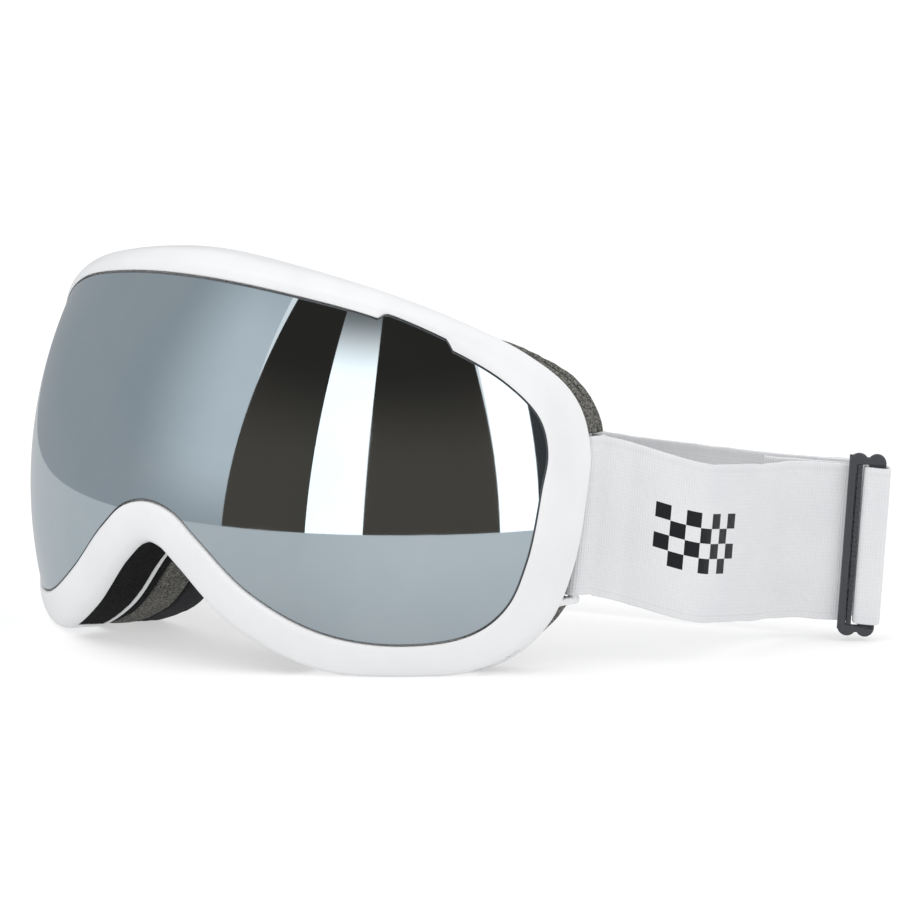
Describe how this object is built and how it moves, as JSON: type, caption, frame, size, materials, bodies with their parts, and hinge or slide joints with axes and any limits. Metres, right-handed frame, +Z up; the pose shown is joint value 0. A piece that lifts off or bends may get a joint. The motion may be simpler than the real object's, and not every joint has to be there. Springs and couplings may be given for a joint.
{
  "type": "snow goggles",
  "caption": "Wrap-around goggles with a mirrored barrel lens, white moulded frame, layered face foam and an elastic strap with a slider.",
  "frame": {"origin": "middle of the whole object's footprint, on the surface it stands on", "axes": "+Z up, the lens faces -Y, +X is the wearer's left"},
  "size_m": [0.2094, 0.1514, 0.1013],
  "materials": {
    "frame_plastic": "satin white moulded plastic",
    "lens_mirror": "silver mirror coating",
    "lens_clear": "clear",
    "vent_foam": "black open foam",
    "grey_foam": "speckled grey foam",
    "fleece": "black brushed fleece",
    "webbing": "woven elastic",
    "slider_plastic": "dark grey moulded plastic"
  },
  "bodies": {
    "frame": {"frame": "frame_plastic", "nose_vent_foam": "vent_foam", "lower_vent_foam_left": "vent_foam", "lower_vent_foam_right": "vent_foam", "face_foam_base": "vent_foam", "face_foam_middle": "grey_foam", "face_foam_cover": "fleece", "strap_left": "webbing", "strap_right": "webbing"},
    "lens_unit": {"outer_lens": "lens_mirror", "lens_spacer_foam": "vent_foam", "inner_lens": "lens_clear"},
    "slider": {"slider": "slider_plastic"}
  },
  "joints": [
    {"name": "lens_release", "type": "slide", "parent": "frame", "child": "lens_unit", "axis": [0, -1, 0], "range_m": [0, 0.045]},
    {"name": "slider_slide", "type": "slide", "parent": "frame", "child": "slider", "axis": [0.7445, 0.6676, 0], "range_m": [-0.025, 0.02], "deforming": ["strap_left", "strap_right"]}
  ]
}
